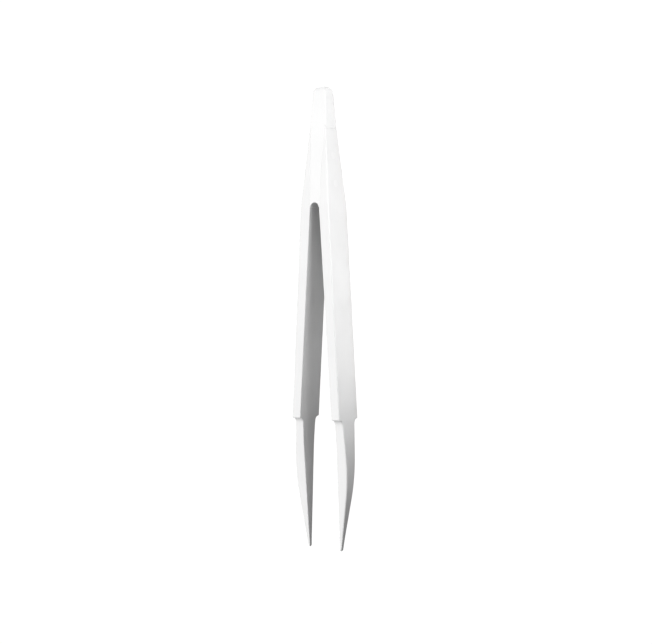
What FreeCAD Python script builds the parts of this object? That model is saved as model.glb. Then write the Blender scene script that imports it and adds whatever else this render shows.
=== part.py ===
import math
import os

import FreeCAD
import Part
import Sketcher

# Precision tweezers, in millimetres, lying on one long side.
# X is the opening direction (left arm at -X, right arm at +X), Y runs along the length
# with the head at +Y and the points at -Y, and Z is the width, up from the surface that
# the grips lie on. The origin is under the middle of the object's box.

document = FreeCAD.newDocument("precision_tweezers")

# ---------------------------------------------------------------- driving dimensions

DIMENSIONS = [
    ("overall_length", 126.3, "head end to points"),
    ("grip_width", 9.0, "width of the flat grips, across Z"),
    ("head_length", 33.0, "head end to the line where the arms leave the core"),
    ("head_end_width", 3.8, "width of the head end, across Z"),
    ("head_end_thickness", 4.0, "thickness of the head end, across X"),
    ("head_corner_radius", 1.7, "rounding of the head end, seen from the side"),
    ("lap_start", 11.5, "head end to the step where the arms begin"),
    ("lap_thickness", 5.2, "thickness over both arms at the step"),
    ("lap_edge", 0.35, "thickness of an arm at the step"),
    ("core_end_thickness", 3.0, "thickness of the core where the arms leave it"),
    ("arch_radius", 1.35, "round end of the slot between the arms"),
    ("arm_root_thickness", 3.1, "thickness of an arm where it leaves the core"),
    ("outer_bend_from_tip", 20.0, "points to the corner of the outer face"),
    ("outer_bend_spread", 17.46, "distance between the two outer corners, across X"),
    ("outer_bend_radius", 55.0, "sweep of the outer face into the point"),
    ("inner_bend_from_tip", 31.5, "points to the corner of the inner face"),
    ("inner_bend_spread", 10.9, "distance between the two inner corners, across X"),
    ("tip_opening", 10.0, "free distance between the points"),
    ("tip_thickness", 0.5, "thickness of a point at its end"),
    ("tip_end_width", 0.9, "width of a point at its end"),
    ("tip_round", 0.3, "rounding of the outer corner of a point"),
    ("shoulder_from_tip", 36.0, "points to the shoulders that end the grips"),
    ("shoulder_step", 1.5, "how far a shoulder stands out from the slim part"),
    ("shoulder_radius", 1.4, "inside fillet under each shoulder, at most the step"),
    ("flex_radius", 3.0, "radius of the rounded seam at the arm's flex line"),
    ("flex_clearance", 0.1, "gap in that seam"),
    ("rivet_diameter", 2.0, "diameter of the two flush rivets"),
    ("rear_rivet_from_head", 18.8, "head end to the rear rivet"),
    ("front_rivet_from_head", 26.5, "head end to the front rivet"),
]

sheet = document.addObject("Spreadsheet::Sheet", "dims")
for row, (alias, value, meaning) in enumerate(DIMENSIONS, start=1):
    sheet.set(f"A{row}", meaning)
    sheet.set(f"B{row}", str(value))
    sheet.setAlias(f"B{row}", alias)
document.recompute()

# ------------------------------------------------- places, as expressions on the sheet

MARGIN = 2.0        # how far a cutting outline reaches past the solid it cuts

HALF_LENGTH = "dims.overall_length / 2"
MID_HEIGHT = "dims.grip_width / 2"
HEAD_LENGTH = "dims.head_length"
LAP_START = "dims.lap_start"
OUTER_BEND = "(dims.overall_length - dims.outer_bend_from_tip)"
INNER_BEND = "(dims.overall_length - dims.inner_bend_from_tip)"
SHOULDER = "(dims.overall_length - dims.shoulder_from_tip)"
FLEX_LINE = "(dims.head_length + dims.flex_radius)"
SLIM_HALF_WIDTH = "(dims.grip_width / 2 - dims.shoulder_step)"
SHOULDER_FILLET = "min(dims.shoulder_radius; dims.shoulder_step * 0.95)"

CORE_END_HALF = "(dims.core_end_thickness / 2)"
LAP_HALF = "(dims.lap_thickness / 2)"
ROOT_OUTER = f"({CORE_END_HALF} + dims.arm_root_thickness)"


def along(from_head):
    """Y of a place that lies the given distance from the head end."""
    return f"{HALF_LENGTH} - ({from_head})"


def on_line(from_head, start, start_value, end, end_value):
    """Value at a place on the straight line between two known places."""
    share = f"(({from_head}) - ({start})) / (({end}) - ({start}))"
    return f"(({start_value}) + (({end_value}) - ({start_value})) * {share})"


def outer_face(from_head):
    """Half spread of the arms' straight outer faces."""
    return on_line(from_head, HEAD_LENGTH, ROOT_OUTER, OUTER_BEND, "dims.outer_bend_spread / 2")


def inner_face(from_head):
    """Half gap between the arms' straight inner faces."""
    return on_line(from_head, HEAD_LENGTH, CORE_END_HALF, INNER_BEND, "dims.inner_bend_spread / 2")


def head_outer_face(from_head):
    """Half thickness over both lapped arms, between the step and the end of the core."""
    return on_line(from_head, LAP_START, LAP_HALF, HEAD_LENGTH, ROOT_OUTER)


def head_half_width(from_head):
    """Half width of the head, which narrows towards its end."""
    return on_line(from_head, "0", "dims.head_end_width / 2", HEAD_LENGTH, MID_HEIGHT)


def tip_half_width(from_head):
    """Half width of the slim part, which narrows from the shoulders to the point."""
    end = "dims.overall_length"
    return on_line(from_head, SHOULDER, SLIM_HALF_WIDTH, end, "dims.tip_end_width / 2")


FLEX_X = f"(({outer_face(FLEX_LINE)} + {inner_face(FLEX_LINE)}) / 2)"

# ------------------------------------------------------------------- building helpers


def number(expression):
    """Present value of an expression on the sheet."""
    return float(sheet.evalExpression(expression))


def origin_plane(body, role):
    return next(item for item in body.Origin.OriginFeatures if item.Role == role)


def new_sketch(body, name, role):
    sketch = body.newObject("Sketcher::SketchObject", name)
    sketch.AttachmentSupport = [(origin_plane(body, role), "")]
    sketch.MapMode = "FlatFace"
    return sketch


def bind_point(sketch, edge, which, across, up):
    """Hold one end, or the centre, of an edge at two expressions."""
    for kind, expression in (("DistanceX", across), ("DistanceY", up)):
        index = sketch.addConstraint(Sketcher.Constraint(kind, edge, which, number(expression)))
        sketch.setExpression(f"Constraints[{index}]", expression)


def add_polygon(sketch, corners):
    """Closed outline through corners that are given as pairs of expressions."""
    places = [FreeCAD.Vector(number(across), number(up), 0) for across, up in corners]
    first = sketch.GeometryCount
    count = len(places)
    for here in range(count):
        line = Part.LineSegment(places[here], places[(here + 1) % count])
        sketch.addGeometry(line, False)
    for here in range(count):
        edge = first + here
        following = first + (here + 1) % count
        sketch.addConstraint(Sketcher.Constraint("Coincident", edge, 2, following, 1))
    for here, (across, up) in enumerate(corners):
        bind_point(sketch, first + here, 1, across, up)


def add_circle(sketch, across, up, radius):
    """Full circle whose centre and radius are expressions."""
    centre = FreeCAD.Vector(number(across), number(up), 0)
    circle = Part.Circle(centre, FreeCAD.Vector(0, 0, 1), number(radius))
    edge = sketch.addGeometry(circle, False)
    bind_point(sketch, edge, 3, across, up)
    index = sketch.addConstraint(Sketcher.Constraint("Radius", edge, number(radius)))
    sketch.setExpression(f"Constraints[{index}]", radius)


def pad_outline(body, corners, height):
    """Solid made from an outline seen from above."""
    sketch = new_sketch(body, body.Name + "_outline", "XY_Plane")
    add_polygon(sketch, corners)
    pad = body.newObject("PartDesign::Pad", body.Name + "_blank")
    pad.Profile = sketch
    pad.setExpression("Length", height)
    document.recompute()
    return pad


def cut_through(body, name, role, draw):
    """Cut the sketch that draw makes right through the solid, both ways."""
    before = body.Shape.Volume
    sketch = new_sketch(body, f"{body.Name}_{name}_sketch", role)
    draw(sketch)
    pocket = body.newObject("PartDesign::Pocket", f"{body.Name}_{name}")
    pocket.Profile = sketch
    pocket.Type = "ThroughAll"
    pocket.SideType = "Symmetric"
    document.recompute()
    if not body.Shape.Volume < before:
        raise RuntimeError(f"{body.Name}_{name} removes nothing")


def round_edges(body, name, direction, places, radius):
    """Fillet the straight edges along one axis that stand at the given places."""
    base = body.Tip
    found = []
    for place in places:
        target = FreeCAD.Vector(*place)
        for index, edge in enumerate(base.Shape.Edges, start=1):
            if edge.Curve.TypeId != "Part::GeomLine":
                continue
            if edge.tangentAt(edge.FirstParameter).cross(direction).Length > 1e-6:
                continue
            offset = edge.CenterOfMass - target
            aside = offset - direction * offset.dot(direction)
            if aside.Length < 1e-4:
                found.append(f"Edge{index}")
    if len(found) < len(places):
        raise RuntimeError(f"{body.Name}_{name}: {len(found)} edges of {len(places)}")
    fillet = body.newObject("PartDesign::Fillet", f"{body.Name}_{name}")
    fillet.Base = (base, found)
    fillet.setExpression("Radius", radius)
    document.recompute()


def new_body(label):
    body = document.addObject("PartDesign::Body", label)
    body.Label = label
    return body


ALONG_X = FreeCAD.Vector(1, 0, 0)
ALONG_Z = FreeCAD.Vector(0, 0, 1)

# ------------------------------------------------------------------ shared cut outlines


def draw_head_taper(sketch):
    """Waste on both sides of the head, from its end to the full width of the grips."""
    behind = f"(0 - {MARGIN})"
    for sign in ("+", "-"):
        corners = []
        for from_head, beyond in ((HEAD_LENGTH, 0), (behind, 0), (behind, 1), (HEAD_LENGTH, 1)):
            reach = f"({MID_HEIGHT} + {MARGIN})" if beyond else head_half_width(from_head)
            corners.append((along(from_head), f"{MID_HEIGHT} {sign} {reach}"))
        add_polygon(sketch, corners)


def draw_tip_taper(sketch):
    """Waste on both sides of the slim part, from the shoulders to past the point."""
    past = f"(dims.overall_length + {MARGIN})"
    for sign in ("+", "-"):
        corners = []
        for from_head, beyond in ((SHOULDER, 0), (past, 0), (past, 1), (SHOULDER, 1)):
            reach = f"({MID_HEIGHT} + {MARGIN})" if beyond else tip_half_width(from_head)
            corners.append((along(from_head), f"{MID_HEIGHT} {sign} {reach}"))
        add_polygon(sketch, corners)


def draw_rivet_holes(sketch):
    for from_head in ("dims.rear_rivet_from_head", "dims.front_rivet_from_head"):
        add_circle(sketch, along(from_head), MID_HEIGHT, "dims.rivet_diameter / 2")


# ------------------------------------------------------------------------ the sub-parts


def make_head_core():
    """Wedge between the arms' roots: the bare head end, two lap faces and the slot's arch."""
    body = new_body("head_core")
    right_side = [
        ("dims.head_end_thickness / 2", along("0")),
        (LAP_HALF, along(LAP_START)),
        (f"{LAP_HALF} - dims.lap_edge", along(LAP_START)),
        (CORE_END_HALF, along(HEAD_LENGTH)),
    ]
    left_side = [(f"0 - ({across})", up) for across, up in reversed(right_side)]
    pad_outline(body, right_side + left_side, "dims.grip_width")

    def draw_arch(sketch):
        add_circle(sketch, "0", along(HEAD_LENGTH), "dims.arch_radius")

    cut_through(body, "slot_arch", "XY_Plane", draw_arch)
    cut_through(body, "taper", "YZ_Plane", draw_head_taper)
    end = number(HALF_LENGTH)
    middle = number(MID_HEIGHT)
    reach = number("dims.head_end_width / 2")
    corners = [(0, end, middle + reach), (0, end, middle - reach)]
    round_edges(body, "end_round", ALONG_X, corners, "dims.head_corner_radius")
    cut_through(body, "rivet_holes", "YZ_Plane", draw_rivet_holes)
    return body


def make_arm_root(label, side):
    """Fixed end of an arm: a thin scarf lapped on the core, out to the flex line."""
    body = new_body(label)
    corners = [
        (f"{LAP_HALF} - dims.lap_edge", along(LAP_START)),
        (CORE_END_HALF, along(HEAD_LENGTH)),
        (inner_face(FLEX_LINE), along(FLEX_LINE)),
        (outer_face(FLEX_LINE), along(FLEX_LINE)),
        (ROOT_OUTER, along(HEAD_LENGTH)),
        (LAP_HALF, along(LAP_START)),
    ]
    pad_outline(body, [(f"{side} * ({across})", up) for across, up in corners], "dims.grip_width")

    def draw_seat(sketch):
        radius = "dims.flex_radius + dims.flex_clearance"
        add_circle(sketch, f"{side} * {FLEX_X}", along(FLEX_LINE), radius)

    cut_through(body, "flex_seat", "XY_Plane", draw_seat)
    cut_through(body, "taper", "YZ_Plane", draw_head_taper)
    cut_through(body, "rivet_holes", "YZ_Plane", draw_rivet_holes)
    return body


def make_arm(label, side):
    """Free length of an arm: flat grip, shoulders and slim swept point, in one piece."""
    body = new_body(label)
    start = "(dims.head_length - dims.flex_radius / 2)"
    end = "dims.overall_length"
    corners = [
        (inner_face(start), start),
        ("dims.inner_bend_spread / 2", INNER_BEND),
        ("dims.tip_opening / 2", end),
        ("dims.tip_opening / 2 + dims.tip_thickness", end),
        ("dims.outer_bend_spread / 2", OUTER_BEND),
        (outer_face(start), start),
    ]
    outline = [(f"{side} * ({across})", along(from_head)) for across, from_head in corners]
    pad_outline(body, outline, "dims.grip_width")

    point, outer_bend = [(number(across), number(up), 0) for across, up in outline[3:5]]
    round_edges(body, "outer_sweep", ALONG_Z, [outer_bend], "dims.outer_bend_radius")
    round_edges(body, "point_round", ALONG_Z, [point], "dims.tip_round")

    def draw_knuckle(sketch):
        """Half ring that leaves the arm's end as an arc about the flex line."""
        across = f"{side} * {FLEX_X}"
        up = along(FLEX_LINE)
        centre = FreeCAD.Vector(number(across), number(up), 0)
        inside = number("dims.flex_radius")
        outside = number("dims.flex_radius * 2")
        arcs = []
        for radius in (inside, outside):
            circle = Part.Circle(centre, ALONG_Z, radius)
            arcs.append(sketch.addGeometry(Part.ArcOfCircle(circle, 0, math.pi), False))
        lines = []
        for sign in (1, -1):
            near = centre + FreeCAD.Vector(sign * inside, 0, 0)
            far = centre + FreeCAD.Vector(sign * outside, 0, 0)
            lines.append(sketch.addGeometry(Part.LineSegment(near, far), False))
        for line, end_of_arc in zip(lines, (1, 2)):
            sketch.addConstraint(Sketcher.Constraint("Coincident", line, 1, arcs[0], end_of_arc))
            sketch.addConstraint(Sketcher.Constraint("Coincident", line, 2, arcs[1], end_of_arc))
            sketch.addConstraint(Sketcher.Constraint("Horizontal", line))
        sketch.addConstraint(Sketcher.Constraint("Coincident", arcs[0], 3, arcs[1], 3))
        bind_point(sketch, arcs[0], 3, across, up)
        for arc, radius in zip(arcs, ("dims.flex_radius", "dims.flex_radius * 2")):
            index = sketch.addConstraint(Sketcher.Constraint("Radius", arc, number(radius)))
            sketch.setExpression(f"Constraints[{index}]", radius)

    cut_through(body, "knuckle", "XY_Plane", draw_knuckle)
    cut_through(body, "taper", "YZ_Plane", draw_tip_taper)
    middle = number(MID_HEIGHT)
    reach = number(SLIM_HALF_WIDTH)
    shoulder_y = number(along(SHOULDER))
    inside_corners = [(0, shoulder_y, middle + reach), (0, shoulder_y, middle - reach)]
    round_edges(body, "shoulder_fillet", ALONG_X, inside_corners, SHOULDER_FILLET)
    return body


def make_rivet(label, from_head):
    """Rivet through both roots and the core, dressed flush with the arms' outer faces."""
    body = new_body(label)
    radius = "dims.rivet_diameter / 2"
    above = f"({from_head} - {radius})"
    below = f"({from_head} + {radius})"
    corners = [
        (head_outer_face(above), along(above)),
        (head_outer_face(below), along(below)),
        (f"0 - {head_outer_face(below)}", along(below)),
        (f"0 - {head_outer_face(above)}", along(above)),
    ]
    pad_outline(body, corners, "dims.grip_width")

    def draw_waste(sketch):
        low = f"0 - {MARGIN}"
        high = f"dims.grip_width + {MARGIN}"
        near = along(f"{above} - {MARGIN}")
        far = along(f"{below} + {MARGIN}")
        add_polygon(sketch, [(near, low), (near, high), (far, high), (far, low)])
        add_circle(sketch, along(from_head), MID_HEIGHT, radius)

    cut_through(body, "turning", "YZ_Plane", draw_waste)
    return body


sub_parts = [
    make_head_core(),
    make_arm_root("left_arm_root", -1),
    make_arm_root("right_arm_root", 1),
    make_arm("left_arm", -1),
    make_arm("right_arm", 1),
    make_rivet("rear_rivet", "dims.rear_rivet_from_head"),
    make_rivet("front_rivet", "dims.front_rivet_from_head"),
]

# ---------------------------------------------------------------------- checks and files

document.recompute()
for item in document.Objects:
    if "Invalid" in item.State or "Error" in item.State:
        raise RuntimeError(f"{item.Label} did not build: {item.State}")

os.makedirs("parts", exist_ok=True)
for body in sub_parts:
    shape = body.Shape
    if shape.isNull() or not shape.isValid() or len(shape.Solids) != 1:
        raise RuntimeError(f"{body.Label} is not one valid solid")
    shape.exportStep(os.path.join("parts", body.Label + ".step"))
    box = shape.BoundBox
    print(f"{body.Label:16s} {shape.Volume:9.2f} mm3  X {box.XMin:7.2f} {box.XMax:7.2f}"
          f"  Y {box.YMin:7.2f} {box.YMax:7.2f}  Z {box.ZMin:6.2f} {box.ZMax:6.2f}")

print(f"flex line at X {number(FLEX_X):.4f}, Y {number(along(FLEX_LINE)):.4f}")
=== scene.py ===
# %% [markdown]
# # Precision tweezers in satin steel
#
# Two sprung arms, a wedge-shaped core between their roots and two flush rivets: that is the
# whole tool. This lesson builds each of them as a mesh around a fixed frame, gives every
# piece its own ground or worn steel, and then lights the tool like a small product on a
# white table. The tool is measured in millimetres, which are scaled once, when a mesh is made.
# Blender itself works in metres, and so do the materials, the lamps and the sheets.

# %% Load the frame
import math

import bmesh
import bpy
from mathutils import Matrix, Vector


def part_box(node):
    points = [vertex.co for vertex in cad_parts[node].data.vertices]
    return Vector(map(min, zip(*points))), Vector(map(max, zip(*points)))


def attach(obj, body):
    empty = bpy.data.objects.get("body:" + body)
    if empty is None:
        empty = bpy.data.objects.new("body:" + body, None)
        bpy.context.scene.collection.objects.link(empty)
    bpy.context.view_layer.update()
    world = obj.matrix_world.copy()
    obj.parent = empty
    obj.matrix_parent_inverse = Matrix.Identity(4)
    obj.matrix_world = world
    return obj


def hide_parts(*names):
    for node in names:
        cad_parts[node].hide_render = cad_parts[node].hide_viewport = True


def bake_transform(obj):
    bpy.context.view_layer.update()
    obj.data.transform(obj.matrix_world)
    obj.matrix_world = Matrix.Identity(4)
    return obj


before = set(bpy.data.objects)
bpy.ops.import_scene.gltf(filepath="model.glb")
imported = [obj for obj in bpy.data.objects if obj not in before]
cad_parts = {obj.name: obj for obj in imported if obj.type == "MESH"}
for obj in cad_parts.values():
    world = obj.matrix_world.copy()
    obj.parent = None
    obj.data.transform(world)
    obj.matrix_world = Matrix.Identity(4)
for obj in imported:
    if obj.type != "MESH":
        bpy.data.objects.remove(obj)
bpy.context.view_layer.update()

MM = 0.001
print("nodes in the frame:", sorted(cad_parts))

# %% [markdown]
# ## Measurements taken from the frame
#
# The frame already knows how big the tool is. Everything below starts from the boxes of its
# nodes, so the pieces land where the solid model has them. A maker measures tweezers from
# the head end, so the length is counted from there: 0 at the head, TOTAL at the points.

# %% Read the main sizes
def node_box(name):
    """Lowest and highest corner of a node, in millimetres."""
    low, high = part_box(name)
    return Vector(low) / MM, Vector(high) / MM


core_low, core_high = node_box("head_core")
arm_low, arm_high = node_box("right_arm")
root_high = node_box("right_arm_root")[1]

HEAD_END = core_high.y
TOTAL = HEAD_END - arm_low.y
WIDTH = arm_high.z - arm_low.z
MIDDLE = (arm_high.z + arm_low.z) / 2
LAP = HEAD_END - root_high.y
LEAVE = HEAD_END - core_low.y
LAP_HALF = core_high.x
print(f"length {TOTAL:.1f}, width {WIDTH:.1f}, lap at {LAP:.1f}, arms leave at {LEAVE:.1f}")

# %% [markdown]
# ## The run of each face
#
# Seen from above, an arm is nothing but a few straight runs with a gentle sweep at each
# corner. One small helper stores such a run as points and eases every corner with a
# parabola, which for turns of a few degrees is as good as an arc and never overshoots.

# %% A run of straight stretches with eased corners
def eased_run(points, ease):
    """Function of the distance from the head: straight runs whose inner corners are eased."""
    slopes = [(b[1] - a[1]) / (b[0] - a[0]) for a, b in zip(points, points[1:])]

    def value(place):
        index = 0
        while index < len(slopes) - 1 and place > points[index + 1][0]:
            index += 1
        start, height = points[index]
        result = height + slopes[index] * (place - start)
        for corner in range(1, len(slopes)):
            reach = ease[corner - 1]
            offset = place - points[corner][0]
            if abs(offset) < reach:
                turn = slopes[corner] - slopes[corner - 1]
                result += turn * (reach - abs(offset)) ** 2 / (4 * reach)
        return result

    return value


SHOULDER = TOTAL - 36.0          # where the flat grips end
INNER_BEND = TOTAL - 31.5        # corner of the inner face
OUTER_BEND = TOTAL - 20.0        # corner of the outer face
CORE_END_HALF = 1.5              # half thickness of the core where the arms leave it
ROOT_OUTER = 4.6                 # half thickness over both arms at the same place
INNER_SPREAD = 5.45              # half gap between the inner corners
OUTER_SPREAD = 8.73              # half spread of the outer corners
POINT_INNER = 5.0                # half gap between the points
POINT_OUTER = 5.5                # half spread over the points
LAP_EDGE = 0.35                  # thickness of an arm where it starts on the core
SKIN = 0.01                      # the meshes stay this far inside the solid model

outer_face = eased_run([(LAP, LAP_HALF - SKIN), (LEAVE, ROOT_OUTER - SKIN),
                        (OUTER_BEND, OUTER_SPREAD - SKIN), (TOTAL, POINT_OUTER - SKIN)],
                       ease=(2.0, 6.0))
inner_face = eased_run([(LAP, LAP_HALF - LAP_EDGE), (LEAVE, CORE_END_HALF),
                        (INNER_BEND, INNER_SPREAD), (TOTAL, POINT_INNER)],
                       ease=(1.2, 5.0))
grip_thickness = outer_face(SHOULDER) - inner_face(SHOULDER)
print(f"grip {grip_thickness:.2f} thick, point {POINT_OUTER - POINT_INNER:.2f}")

# %% [markdown]
# ## Width along the tool
#
# From the side the head narrows to a blunt end, the grips are parallel, and at the shoulders
# the strip drops in one small quarter round to the slim part, which tapers to the point. The
# shoulder is a list of stations rather than a formula of the distance, because its face is
# square to the length: several widths share one distance.

# %% Stations along an arm: distance from the head and half width
HEAD_HALF = 1.9                  # half width of the head end
FILLET = 1.4                     # quarter round under the shoulder
SLIM_HALF = 3.0                  # half width of the slim part at the shoulder
POINT_HALF = 0.45                # half width at the very point
CORNER = 0.3                     # softened corner of the shoulder
NOSE = 0.5                       # length of the rounded nose of a point

head_half_width = eased_run([(0, HEAD_HALF), (LEAVE, WIDTH / 2), (TOTAL, WIDTH / 2)], ease=(0.8,))
slim_half_width = eased_run([(SHOULDER, SLIM_HALF), (TOTAL, POINT_HALF)], ease=())


def spread(start, end, count):
    """Evenly spaced places from start to end, both kept."""
    return [start + (end - start) * step / (count - 1) for step in range(count)]


def arm_stations():
    """Pairs of distance and half width, from the thin end on the core to the point."""
    stations = [(place, head_half_width(place)) for place in spread(LAP, LEAVE + 2, 24)]
    stations += [(place, WIDTH / 2) for place in spread(LEAVE + 3, SHOULDER - CORNER, 46)]
    for angle in spread(15, 90, 6):
        turn = math.radians(angle)
        place = SHOULDER - CORNER * (1 - math.sin(turn))
        stations.append((place, WIDTH / 2 - CORNER * (1 - math.cos(turn))))
    for angle in spread(0, 90, 12):
        turn = math.radians(angle)
        place = SHOULDER + FILLET * (1 - math.cos(turn))
        start = WIDTH / 2 - CORNER
        end = slim_half_width(SHOULDER + FILLET)
        stations.append((place, start - (start - end) * math.sin(turn)))
    for place in spread(SHOULDER + 2.2, TOTAL - NOSE, 56):
        stations.append((place, slim_half_width(place)))
    return stations


print(len(arm_stations()), "stations on an arm")

# %% [markdown]
# ## Skinning sections
#
# Each station becomes a rounded rectangle, and neighbouring sections are joined by quads:
# the same idea as planks over ribs. The corners of the rectangle get a true radius, because
# it is the thin bright line on a rounded edge that tells the eye that steel has been dressed
# by hand. A texture map is laid at the same time, one way along the piece and one way
# around it, so that the grinding marks can follow the length of the strip.

# %% Rounded section and skin
ARC_STEPS = 5


def rounded_section(near, far, half_width, near_radius, far_radius, flats=(3, 4)):
    """Outline in X and Z, from the inner face round to the outer face and back.

    A corner is its place in X and Z, its radius, the way to its centre and its first angle.
    """
    corners = [
        (near, half_width, near_radius, 1, -1, 180),
        (far, half_width, far_radius, -1, -1, 90),
        (far, -half_width, far_radius, -1, 1, 0),
        (near, -half_width, near_radius, 1, 1, 270),
    ]
    outline = []
    for index, (across, up, radius, to_x, to_z, start) in enumerate(corners):
        centre = (across + to_x * radius, up + to_z * radius)
        arc = []
        for step in range(ARC_STEPS):
            turn = math.radians(start - 90 * step / (ARC_STEPS - 1))
            arc.append((centre[0] + radius * math.cos(turn), centre[1] + radius * math.sin(turn)))
        outline += arc
        across, up, radius, to_x, to_z, start = corners[(index + 1) % len(corners)]
        turn = math.radians(start)
        end = (across + to_x * radius + radius * math.cos(turn),
               up + to_z * radius + radius * math.sin(turn))
        count = flats[index % 2]
        for step in range(1, count + 1):
            share = step / (count + 1)
            outline.append((arc[-1][0] + (end[0] - arc[-1][0]) * share,
                            arc[-1][1] + (end[1] - arc[-1][1]) * share))
    return outline


def distances_round(ring):
    """Distance walked round a ring to each of its points, and back to the first."""
    walked = [0.0]
    for here, there in zip(ring, ring[1:] + ring[:1]):
        walked.append(walked[-1] + (Vector(there) - Vector(here)).length)
    return walked


def skin(name, rings, lengths, side=1):
    """Mesh object through rings of (x, y, z) points in millimetres, with a length-wise map."""
    mesh = bpy.data.meshes.new(name)
    work = bmesh.new()
    rows = [[work.verts.new((side * x * MM, y * MM, z * MM)) for x, y, z in ring] for ring in rings]
    layer = work.loops.layers.uv.new("along")
    around = [distances_round(ring) for ring in rings]
    count = len(rings[0])
    for row in range(len(rows) - 1):
        for point in range(count):
            after = (point + 1) % count
            face = work.faces.new((rows[row][point], rows[row][after],
                                   rows[row + 1][after], rows[row + 1][point]))
            places = ((lengths[row], around[row][point]),
                      (lengths[row], around[row][point + 1]),
                      (lengths[row + 1], around[row + 1][point + 1]),
                      (lengths[row + 1], around[row + 1][point]))
            for loop, place in zip(face.loops, places):
                loop[layer].uv = place
    for row in (rows[0], rows[-1]):
        face = work.faces.new(row)
        for loop in face.loops:
            loop[layer].uv = (loop.vert.co.x / MM, loop.vert.co.z / MM)
        for edge in face.edges:
            edge.smooth = False
    bmesh.ops.recalc_face_normals(work, faces=work.faces)
    for face in work.faces:
        face.smooth = True
    work.to_mesh(mesh)
    work.free()
    piece = bpy.data.objects.new(name, mesh)
    bpy.context.scene.collection.objects.link(piece)
    weighted = piece.modifiers.new("flat faces stay flat", "WEIGHTED_NORMAL")
    weighted.weight = 100
    weighted.keep_sharp = True
    print(f"{name}: {len(mesh.vertices)} points, {len(mesh.polygons)} faces")
    return piece


# %% [markdown]
# ## The arms
#
# On the real tool each arm is one strip, from the thin end that is lapped on the core to the
# point, and it closes by bending. The last half millimetre is drawn in along an arc, which
# leaves a small rounded nose and not a cut end.

# %% Make both arms
GRIP_EDGE = 0.32                 # dressed radius of the outer long edges
INNER_EDGE = 0.2                 # radius of the inner long edges
NOSE_LINE = 0.45                 # share of the thickness at which the nose ends
NOSE_ANGLES = (20, 40, 58, 72, 82)
SEAM_EDGE = 0.07                 # sharp edges where pieces are fitted together


def arm_section(place, half_width, shrink=1.0):
    """Ring of points at a place, drawn in towards a line near the inner face by shrink."""
    thick = outer_face(place) - inner_face(place)
    slim = min(thick, 2 * half_width)
    centre = inner_face(place) + thick * NOSE_LINE
    near = centre - thick * NOSE_LINE * shrink
    far = centre + thick * (1 - NOSE_LINE) * shrink
    half_width = half_width * shrink
    free = min(1.0, max(0.0, (place - LEAVE + 1) / 6))
    inner_radius = min(SEAM_EDGE + (INNER_EDGE - SEAM_EDGE) * free, slim * 0.24 * shrink)
    outer_radius = min(GRIP_EDGE, slim * 0.3 * shrink)
    section = rounded_section(near, far, half_width, inner_radius, outer_radius)
    return [(x, HEAD_END - place, MIDDLE + z) for x, z in section]


def make_arm(name, side):
    """One sprung strip from its thin end to its point; side is -1 or 1."""
    stations = arm_stations()
    rings = [arm_section(place, half_width) for place, half_width in stations]
    lengths = [place for place, half_width in stations]
    for angle in NOSE_ANGLES:
        turn = math.radians(angle)
        place = TOTAL - NOSE + NOSE * math.sin(turn)
        rings.append(arm_section(place, slim_half_width(place), max(math.cos(turn), 0.12)))
        lengths.append(place)
    return skin(name, rings, lengths, side)


arms = {side: make_arm(name, sign) for side, name, sign in
        (("left", "left_spring_arm", -1), ("right", "right_spring_arm", 1))}

# %% [markdown]
# ## The head core
#
# The core is a wedge whose bare end is the head of the tweezers. Its end is blunt and
# rounded, with generous edges. Further on its two faces are hidden under the arms' roots, and
# only the narrow strips between them show, down to the round end of the slot. The wedge is
# skinned in three parts: the solid length, and the two thin legs that run out on both sides of
# the arch. Cutting the arch out of a solid wedge would leave long thin faces around it.

# %% Make the core
ARCH = 1.35                      # radius of the slot's round end
HEAD_ROUND = 1.7                 # rounding of the end, seen from the side
END_EDGE = 1.1                   # dressed radius where a flat side turns into the end
LONG_EDGE = 0.3                  # dressed radius of the bare head's long edges
ARCH_EDGE = 0.03                 # edge of the legs along the arch
HEAD_THICK_HALF = 2.0            # half thickness of the head end
bare_face = eased_run([(0, HEAD_THICK_HALF - SKIN), (LAP, LAP_HALF - SKIN)], ease=())


def core_face(place):
    """Half thickness of the core: bare up to the step, then the lap face."""
    if place <= LAP:
        return bare_face(place)
    share = (place - LAP) / (LEAVE - LAP)
    return (LAP_HALF - LAP_EDGE) * (1 - share) + CORE_END_HALF * share


def core_ring(place, half_width, radius, face=None):
    """Ring of points around the core at a place."""
    face = core_face(place) if face is None else face
    section = rounded_section(-face, face, half_width, radius, radius, flats=(3, 3))
    return [(x, HEAD_END - place, MIDDLE + z) for x, z in section]


def make_core():
    """The solid length: a rounded end, the bare head and the lapped part down to the arch."""
    rings = []
    lengths = []
    for angle in spread(6, 90, 15):
        turn = math.radians(angle)
        place = HEAD_ROUND * (1 - math.cos(turn))
        half = head_half_width(place) - HEAD_ROUND * (1 - math.sin(turn))
        sink = max(0.0, END_EDGE - place)
        face = core_face(place) - END_EDGE + math.sqrt(END_EDGE ** 2 - sink ** 2)
        rings.append(core_ring(place, half, min(LONG_EDGE, half * 0.8), face))
        lengths.append(place)
    for place in spread(HEAD_ROUND + 0.4, LAP - 0.05, 10):
        rings.append(core_ring(place, head_half_width(place), LONG_EDGE))
        lengths.append(place)
    for place in [LAP + 0.02] + spread(LAP + 1, LEAVE - ARCH, 16):
        rings.append(core_ring(place, head_half_width(place), SEAM_EDGE))
        lengths.append(place)
    return skin("core_wedge", rings, lengths)


core = make_core()

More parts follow.
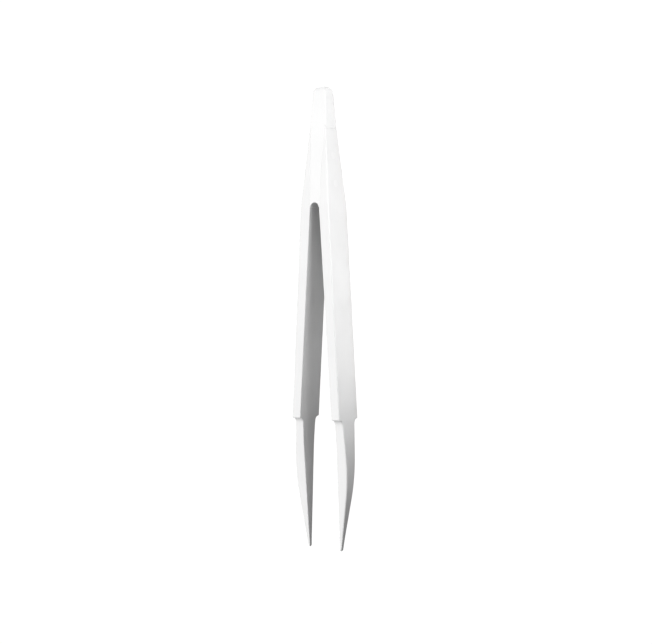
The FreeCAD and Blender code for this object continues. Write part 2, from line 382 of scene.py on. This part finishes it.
# %% Make the two legs beside the arch
def make_leg(name, side):
    """Thin leg between one arm and the arch."""
    rings = []
    lengths = []
    for angle in spread(0, 86, 14):
        turn = math.radians(angle)
        place = LEAVE - ARCH * math.cos(turn)
        near = ARCH * math.sin(turn)
        far = core_face(place)
        half_width = head_half_width(place)
        section = rounded_section(near, far, half_width, ARCH_EDGE, SEAM_EDGE, flats=(3, 3))
        rings.append([(x, HEAD_END - place, MIDDLE + z) for x, z in section])
        lengths.append(place)
    return skin(name, rings, lengths, side)


legs = [make_leg("core_leg_left", -1), make_leg("core_leg_right", 1)]

# %% [markdown]
# ## The rivets
#
# Each rivet runs through both roots and the core and is dressed level with the slanting outer
# faces. Its ends are therefore not square to its axis: every ring of the mesh takes its X from
# the arm's face at that very spot. The end stands a hundredth of a millimetre proud, as a filed
# rivet does, and the groove around it is left to the arm's material.

# %% Make the rivets
RIVET_RADIUS = 1.0
RIVET_PROUD = 0.008              # how far an end stands out of the arm
RIVETS = {}
for name in ("rear_rivet", "front_rivet"):
    low, high = node_box(name)
    RIVETS[name] = (low + high) / 2


def make_rivet(name, centre):
    """Rivet whose ends follow the slant of the arms' outer faces."""
    turns = spread(0, 360, 41)[:-1]
    levels = [(0.15, 0.0), (0.5, 0.0), (0.8, 0.0), (0.93, 0.0), (0.98, 0.012), (1.0, 0.04), (1.0, 0.5)]
    rings = []
    lengths = []
    for sign, order in ((-1, levels), (1, levels[::-1])):
        for share, depth in order:
            ring = []
            for angle in turns:
                turn = math.radians(angle)
                y = centre.y + RIVET_RADIUS * share * math.cos(turn)
                z = centre.z + RIVET_RADIUS * share * math.sin(turn)
                x = sign * (outer_face(HEAD_END - y) + RIVET_PROUD - depth)
                ring.append((x, y, z))
            rings.append(ring)
            lengths.append(sign * share)
    return skin(name, rings, lengths)


rivets = {name: make_rivet(name + "_dressed", centre) for name, centre in RIVETS.items()}

# %% [markdown]
# ## Shader maths that reads like maths
#
# A material is a graph, but most of it is plain arithmetic. The little class below wraps a
# socket so that an expression such as 1 - mask * 0.3 adds its own Math nodes. Every other
# node comes from one method, which sets the node's own settings first and its sockets after.

# %% The socket wrapper and the graph
class Wire:
    """A socket that can be added, subtracted, multiplied and divided."""

    def __init__(self, graph, socket):
        self.graph = graph
        self.socket = socket

    def maths(self, operation, *values):
        return self.graph.node("ShaderNodeMath", {"operation": operation}, *values)[0]

    def __add__(self, other):
        return self.maths("ADD", self, other)

    def __sub__(self, other):
        return self.maths("SUBTRACT", self, other)

    def __mul__(self, other):
        return self.maths("MULTIPLY", self, other)

    def __truediv__(self, other):
        return self.maths("DIVIDE", self, other)

    def __radd__(self, other):
        return self.maths("ADD", other, self)

    def __rsub__(self, other):
        return self.maths("SUBTRACT", other, self)

    def __rmul__(self, other):
        return self.maths("MULTIPLY", other, self)

    def size(self):
        """The value without its sign."""
        return self.maths("ABSOLUTE", self)


class Graph:
    """Node tree to which nodes are added and linked by short calls."""

    def __init__(self, tree):
        self.tree = tree

    def feed(self, socket, value):
        if isinstance(value, Wire):
            self.tree.links.new(value.socket, socket)
        else:
            socket.default_value = value

    def node(self, kind, settings, *values, **named):
        """Add a node: settings first, then its sockets by order or by name."""
        made = self.tree.nodes.new(kind)
        for key, value in settings.items():
            if key == "stops":
                ramp = made.color_ramp
                while len(ramp.elements) < len(value):
                    ramp.elements.new(0.5)
                for element, (place, shade) in zip(ramp.elements, value):
                    element.position = place
                    element.color = (shade, shade, shade, 1)
            else:
                setattr(made, key, value)
        for socket, value in zip(made.inputs, values):
            self.feed(socket, value)
        for key, value in named.items():
            self.feed(made.inputs[key.replace("_", " ")], value)
        return [Wire(self, socket) for socket in made.outputs if socket.enabled]

    def place(self, kind="Object"):
        """Position of the shaded spot, in metres for a piece, or a direction for the world."""
        places = self.node("ShaderNodeTexCoord", {})
        return [wire for wire in places if wire.socket.name == kind][0]


class Finish(Graph):
    """Graph of one material, with its shader ready."""

    def __init__(self, name):
        self.material = bpy.data.materials.new(name)
        self.material.use_nodes = True
        super().__init__(self.material.node_tree)
        self.tree.nodes.clear()
        self.shader = self.tree.nodes.new("ShaderNodeBsdfPrincipled")
        output = self.tree.nodes.new("ShaderNodeOutputMaterial")
        self.tree.links.new(self.shader.outputs[0], output.inputs[0])

    def surface(self, **inputs):
        """Give the shader's sockets their values or links."""
        for key, value in inputs.items():
            self.feed(self.shader.inputs[key.replace("_", " ")], value)


print("graph and finish helpers ready")

# %% [markdown]
# ## Satin steel
#
# The arms are ground along their length and then blasted fine, which leaves a soft satin with
# faint lines. Three things make it: long thin noise for the lines, broad clouds for handling
# marks, and a few long bare scratches. Edges that fingers and the bench rub are smoother and a
# little brighter, and a bevel lookup finds them. The lines follow the texture map of each
# piece, so they stay as far apart on the slim points as on the wide grips.

# %% Finish helpers
def grain(graph, along, across, detail):
    """Noise that is drawn out along the piece: the marks of grinding."""
    place = graph.node("ShaderNodeUVMap", {"uv_map": "along"})[0]
    stretched = graph.node("ShaderNodeVectorMath", {"operation": "MULTIPLY"}, place,
                           (along, across, 1.0))[0]
    return graph.node("ShaderNodeTexNoise", {"noise_dimensions": "2D"}, Vector=stretched,
                      Scale=1.0, Detail=detail, Roughness=0.6)[0]


def ramp(graph, value, stops):
    """Grey that follows a value through stops of place and shade."""
    return graph.node("ShaderNodeValToRGB", {"stops": stops}, value)[0]


def worn_edges(graph, radius):
    """1 on edges that rub, 0 on open faces."""
    rounded = graph.node("ShaderNodeBevel", {"samples": 8}, Radius=radius)[0]
    straight = graph.node("ShaderNodeNewGeometry", {})[1]
    agreement = graph.node("ShaderNodeVectorMath", {"operation": "DOT_PRODUCT"}, rounded, straight)
    return ramp(graph, 1 - agreement[-1], [(0.0, 0.0), (0.02, 0.15), (0.12, 1.0)])


def clouds(graph, scale, detail):
    """Soft patches in space, with scale patches to the metre."""
    return graph.node("ShaderNodeTexNoise", {}, Vector=graph.place(), Scale=scale, Detail=detail,
                      Roughness=0.55)[0]


def mix_colour(graph, factor, first, second):
    """Colour that goes from the first to the second as the factor goes from 0 to 1."""
    made = graph.node("ShaderNodeMix", {"data_type": "RGBA"})
    node = made[0].socket.node
    graph.feed(node.inputs["Factor"], factor)
    graph.feed([s for s in node.inputs if s.name == "A" and s.type == "RGBA"][0], first)
    graph.feed([s for s in node.inputs if s.name == "B" and s.type == "RGBA"][0], second)
    return Wire(graph, [s for s in node.outputs if s.type == "RGBA"][0])


# %% Satin steel for the arms and the core
LINES = (0.2, 12.0, 3.0)         # marks along and across to the millimetre, and their detail
FINE_LINES = (0.7, 32.0, 2.0)
SCRATCHES = (0.06, 6.0, 5.0)
HANDLING_SCALE = 90.0            # handling marks, about a centimetre apart
EDGE_REACH = 0.00025             # how far wear reaches in from an edge, in metres
GRAIN_DEPTH = 0.00002            # depth of the deepest grinding marks, in metres
GROOVE_PLACE = 1.03              # radius of the groove as a share of the rivet's
GROOVE_WIDTH = 0.06
GROOVE_DEPTH = 2
STEEL = (0.74, 0.74, 0.74)
ARM_ROUGHNESS = 0.78
CORE_ROUGHNESS = 0.74


def satin_steel(name, tone, rough, rivet_grooves=()):
    """Ground and softly blasted steel of one tone, with grooves around the given centres."""
    graph = Finish(name)
    lines = grain(graph, *LINES)
    fine = grain(graph, *FINE_LINES)
    scratches = ramp(graph, grain(graph, *SCRATCHES), [(0.0, 0.0), (0.66, 0.0), (0.69, 1.0)])
    handling = clouds(graph, HANDLING_SCALE, 4.0)
    edges = worn_edges(graph, EDGE_REACH)
    bright = tuple(min(1.0, shade * 1.12) for shade in tone) + (1,)
    dull = tuple(shade * 0.95 for shade in tone) + (1,)
    plain = tone + (1,)
    colour = mix_colour(graph, ramp(graph, handling, [(0.3, 0.0), (0.7, 1.0)]), dull, plain)
    colour = mix_colour(graph, edges * 0.6, colour, bright)
    roughness = rough + (lines - 0.5) * 0.12 + (handling - 0.5) * 0.10 - edges * 0.10
    height = lines * 0.5 + fine * 0.35 - scratches * 0.5
    for centre in rivet_grooves:
        height = height - rivet_groove(graph, centre) * GROOVE_DEPTH
    bump = graph.node("ShaderNodeBump", {}, Strength=0.35, Distance=GRAIN_DEPTH, Height=height)[0]
    graph.surface(Base_Color=colour, Metallic=1.0, Roughness=roughness, Normal=bump)
    return graph.material


def rivet_groove(graph, centre):
    """1 in the hairline ring around a rivet, whose axis runs along X."""
    offset = graph.node("ShaderNodeVectorMath", {"operation": "SUBTRACT"}, graph.place(),
                        tuple(value * MM for value in centre))[0]
    flat = graph.node("ShaderNodeVectorMath", {"operation": "MULTIPLY"}, offset, (0, 1, 1))[0]
    reach = graph.node("ShaderNodeVectorMath", {"operation": "LENGTH"}, flat)[-1]
    from_ring = reach / (RIVET_RADIUS * MM) - GROOVE_PLACE
    return ramp(graph, from_ring.size(), [(0.0, 1.0), (GROOVE_WIDTH, 0.0)])


arm_steel = satin_steel("satin_arm_steel", STEEL, ARM_ROUGHNESS, list(RIVETS.values()))
core_steel = satin_steel("satin_core_steel", STEEL, CORE_ROUGHNESS)
print(f"{arm_steel.name}: {len(arm_steel.node_tree.nodes)} nodes")

# %% [markdown]
# ## Filed rivet ends
#
# The rivets are filed level after they are set. The file leaves short marks with no one
# direction, so plain noise in space does for them. Their tone wanders a little below the
# arms' own, and they are smoother, which is what makes them show at all on the satin.

# %% Dressed rivet ends
FILE_MARKS = 900.0               # filing marks, about a millimetre apart
RIVET_ROUGHNESS = 0.66


def rivet_steel():
    """Filed level in one pass: slightly darker metal with short marks."""
    graph = Finish("filed_rivet_steel")
    marks = clouds(graph, FILE_MARKS, 3.0)
    colour = mix_colour(graph, marks, (0.68, 0.68, 0.68, 1), (0.74, 0.74, 0.74, 1))
    roughness = RIVET_ROUGHNESS + (marks - 0.5) * 0.2
    bump = graph.node("ShaderNodeBump", {}, Strength=0.3, Distance=GRAIN_DEPTH, Height=marks)[0]
    graph.surface(Base_Color=colour, Metallic=1.0, Roughness=roughness, Normal=bump)
    return graph.material


filed_steel = rivet_steel()
print(f"{filed_steel.name}: {len(filed_steel.node_tree.nodes)} nodes")

# %% [markdown]
# ## Putting the pieces on their bodies
#
# The core, its legs and the rivets never move against each other, so they ride on the head. Each
# arm stays one whole strip, baked in place and put on no body here. Two stiff halves with a hinge
# would be simpler, but they would kink.


def dress(piece, material):
    """Give a piece its steel, in a material slot of its own."""
    piece.data.materials.append(material)


for side, arm in arms.items():
    dress(arm, arm_steel)
    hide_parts(side + "_arm_root", side + "_arm")
    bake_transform(arm)
for piece in [core] + legs:
    dress(piece, core_steel)
    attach(piece, "head")
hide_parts("head_core")
for name, rivet in rivets.items():
    dress(rivet, filed_steel)
    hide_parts(name)
    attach(rivet, "head")
print(f"{len(arms)} arms bend, {len(rivets) + len(legs) + 1} pieces ride on the head")

# %% [markdown]
# ## A white table that only the camera sees
#
# The tool lies on white so bright that nothing marks where the table ends. A lit sheet never
# gets quite so even. Here the table and a large ball around it simply glow, and they are hidden
# from every ray but the camera's, so they can't light the steel.

# %% White table and backdrop
def sheet_mesh(name, half_size, level):
    """Square sheet, level with the floor."""
    mesh = bpy.data.meshes.new(name)
    corners = [(-half_size, -half_size, level), (half_size, -half_size, level),
               (half_size, half_size, level), (-half_size, half_size, level)]
    mesh.from_pydata(corners, [], [(0, 1, 2, 3)])
    return mesh


def ball_mesh(name, radius):
    """Ball around the whole scene."""
    mesh = bpy.data.meshes.new(name)
    work = bmesh.new()
    bmesh.ops.create_icosphere(work, subdivisions=3, radius=radius)
    work.to_mesh(mesh)
    work.free()
    return mesh


def stage_piece(mesh, material):
    """Link a mesh into the scene with its material: it isn't part of the tool."""
    thing = bpy.data.objects.new(mesh.name, mesh)
    bpy.context.scene.collection.objects.link(thing)
    mesh.materials.append(material)
    print(f"{mesh.name} stands on the stage")
    return thing


def glowing_white():
    """White that glows a little past full and mirrors nothing."""
    graph = Finish("glowing_white_table")
    graph.surface(Base_Color=(0, 0, 0, 1), Emission_Color=(1, 1, 1, 1), Emission_Strength=1.05,
                  Specular_IOR_Level=0.0)
    return graph.material


white = glowing_white()
for mesh in (sheet_mesh("white_table", 3.0, -0.2 * MM), ball_mesh("white_backdrop", 5.0)):
    thing = stage_piece(mesh, white)
    for ray in ("glossy", "diffuse", "transmission", "shadow"):
        setattr(thing, "visible_" + ray, False)

# %% [markdown]
# ## The sheet that the steel mirrors
#
# Bare metal shows little but its surroundings, so the surroundings are what gives these
# tweezers their greys. A second, real sheet lies where the table is. The camera never sees it,
# but the steel does. Its colour is painted light and shade: it is pale near the head as a painted
# pool of light, falls to black past the points as painted fall-off of the light, fades out
# sideways, and is darker in the slot between the arms as a painted shadow of the arms.

# %% Bounce sheet
# The sheet's stops paint light and shade: a painted pool of light near the head, painted fall-off past
# the points and sideways.
SHEET_START = -0.075             # where the pale length begins, in metres along Y
SHEET_LENGTH = 0.105             # and how long its ramp is
SHEET = [(0.0, 0.0), (0.2, 0.05), (0.38, 0.3), (0.5, 0.77), (0.6, 0.95), (0.8, 0.9), (1.0, 0.81)]
FAR_REACH = 0.15                 # how far sideways the sheet fades, in metres
FAR_SHEET = [(0.1, 1.0), (0.5, 0.35), (1.0, 0.25)]
# These numbers place a painted shadow of the arms on the sheet, in the slot between them.
SLOT_TOP = 0.030                 # Y of the narrow end of the slot
SLOT_SLOPE = 0.064               # how fast each side of the slot opens
SLOT_HALF = 0.0015               # half its width at the narrow end
SLOT_FADE = 0.004                # width of the shade's soft edge
# Brightness of the painted shadow between the arms.
PAINTED_SLOT_SHADOW = 0.55                # how bright the sheet is between the arms


def painted_bounce_paper():
    """Pale paper with painted light and shade, the product of three ramps: painted fall-off along the
    tool, painted fall-off sideways and a painted shadow of the arms in the slot.
    """
    graph = Finish("painted_bounce_paper")
    parts = graph.node("ShaderNodeSeparateXYZ", {}, graph.place())
    # Painted fall-off of the light along the tool, darkest past the points.
    painted_falloff = ramp(graph, (parts[1] - SHEET_START) / SHEET_LENGTH, SHEET)
    aside = parts[0].size()
    half_gap = SLOT_HALF + (SLOT_TOP - parts[1]) * SLOT_SLOPE
    # Painted shadow of the arms: the sheet is darker in the slot between them.
    under = ramp(graph, (aside - half_gap) / SLOT_FADE, [(0.0, PAINTED_SLOT_SHADOW), (1.0, 1.0)])
    # Painted fall-off sideways: the sheet is brightest near the tool and darker far away.
    far = ramp(graph, aside / FAR_REACH, FAR_SHEET)
    graph.surface(Base_Color=painted_falloff * under * far, Roughness=0.9, Specular_IOR_Level=0.0)
    return graph.material


bounce = stage_piece(sheet_mesh("bounce_sheet", 1.0, -0.1 * MM), painted_bounce_paper())
bounce.visible_camera = False

# %% [markdown]
# ## A low softbox
#
# One small softbox stands low on the right, beside the head. It keeps the head and the upper
# part of the right arm bright, and its light dies out towards the points. A lamp overhead
# would light the grips evenly from end to end, which looks flat.

# %% Soft light
KEY_PLACE = (0.12, 0.06, 0.035)  # in metres, to the right of the head
KEY_TARGET = (0.0, 0.01, 0.005)  # the upper part of the grips
KEY_SIZE = (0.08, 0.06)
KEY_POWER = 0.135                # in watts, because it stands so near


def softbox(name, place, target, size, power):
    """Rectangular lamp that faces its target and stays out of the picture."""
    data = bpy.data.lights.new(name, "AREA")
    data.shape = "RECTANGLE"
    data.size, data.size_y = size
    data.energy = power
    lamp = bpy.data.objects.new(name, data)
    lamp.location = place
    lamp.rotation_euler = (Vector(target) - Vector(place)).to_track_quat("-Z", "Y").to_euler()
    lamp.visible_camera = False
    bpy.context.scene.collection.objects.link(lamp)
    print(f"{name}: {power} W")


softbox("low_softbox", KEY_PLACE, KEY_TARGET, KEY_SIZE, KEY_POWER)

# %% [markdown]
# ## The room
#
# The rest of the light is a room that is bright on its upper left and dark on its lower right.
# It is made from a direction alone: how far each way of looking agrees with the bright side
# picks a brightness from a ramp. An image of a studio could do the same, but this stays
# adjustable, and it reads no file.

# %% Bright room
BRIGHT_SIDE = (-0.55, 0.2, 0.75)  # the way to the brightest part of the room
ROOM_STRENGTH = 1.8
ROOM = [(0.0, 0.0), (0.4, 0.08), (0.6, 0.5), (0.85, 0.93), (1.0, 0.95)]

room = bpy.data.worlds.new("bright_room")
bpy.context.scene.world = room
room.use_nodes = True
background = room.node_tree.nodes["Background"]
graph = Graph(room.node_tree)
facing = graph.node("ShaderNodeVectorMath", {"operation": "DOT_PRODUCT"},
                    graph.place("Generated"), tuple(Vector(BRIGHT_SIDE).normalized()))[-1]
glow = ramp(graph, facing * 0.5 + 0.5, ROOM)
graph.feed(background.inputs["Strength"], glow * ROOM_STRENGTH)
background.inputs["Color"].default_value = (1, 1, 1, 1)
print(f"room lit from {BRIGHT_SIDE}")

# %% [markdown]
# ## The camera
#
# The camera looks down from the right of the tool, 35 degrees off the vertical, and so sees the
# outer face of the right arm and the inner face of the left one. It is described by the
# directions it needs, across and upwards in its picture, which is easier to keep true than
# three angles that depend on each other.

# %% Camera
TURN = math.radians(34.9)        # round the length, towards the right arm
RISE = math.radians(1.0)         # towards the head
ROLL = math.radians(-0.32)
DISTANCE = 273.6
AIM_FORWARD = 0.65               # the camera aims this far from the box's middle
AIM_ACROSS = 0.43
AIM_DOWN = 0.21
LENS = 55.2

towards = Vector((math.sin(TURN) * math.cos(RISE), math.sin(RISE), math.cos(TURN) * math.cos(RISE)))
level = Vector((0, 1, 0)).cross(towards).normalized()
upright = towards.cross(level)
across = level * math.cos(ROLL) + upright * math.sin(ROLL)
upwards = upright * math.cos(ROLL) - level * math.sin(ROLL)
aim = Vector((0, -AIM_FORWARD, MIDDLE)) + across * AIM_ACROSS - upwards * AIM_DOWN
eye = aim + towards * DISTANCE

lens = bpy.data.cameras.new("camera")
lens.sensor_width = 36
lens.lens = LENS
lens.clip_start = 0.01
camera = bpy.data.objects.new("camera", lens)
rotation = Matrix((across, upwards, towards)).transposed().to_4x4()
camera.matrix_world = Matrix.Translation(eye * MM) @ rotation
bpy.context.scene.collection.objects.link(camera)
bpy.context.scene.camera = camera
bpy.context.scene.view_settings.view_transform = "Standard"
print(f"camera {DISTANCE:.0f} mm away, {math.degrees(TURN):.0f} degrees round")
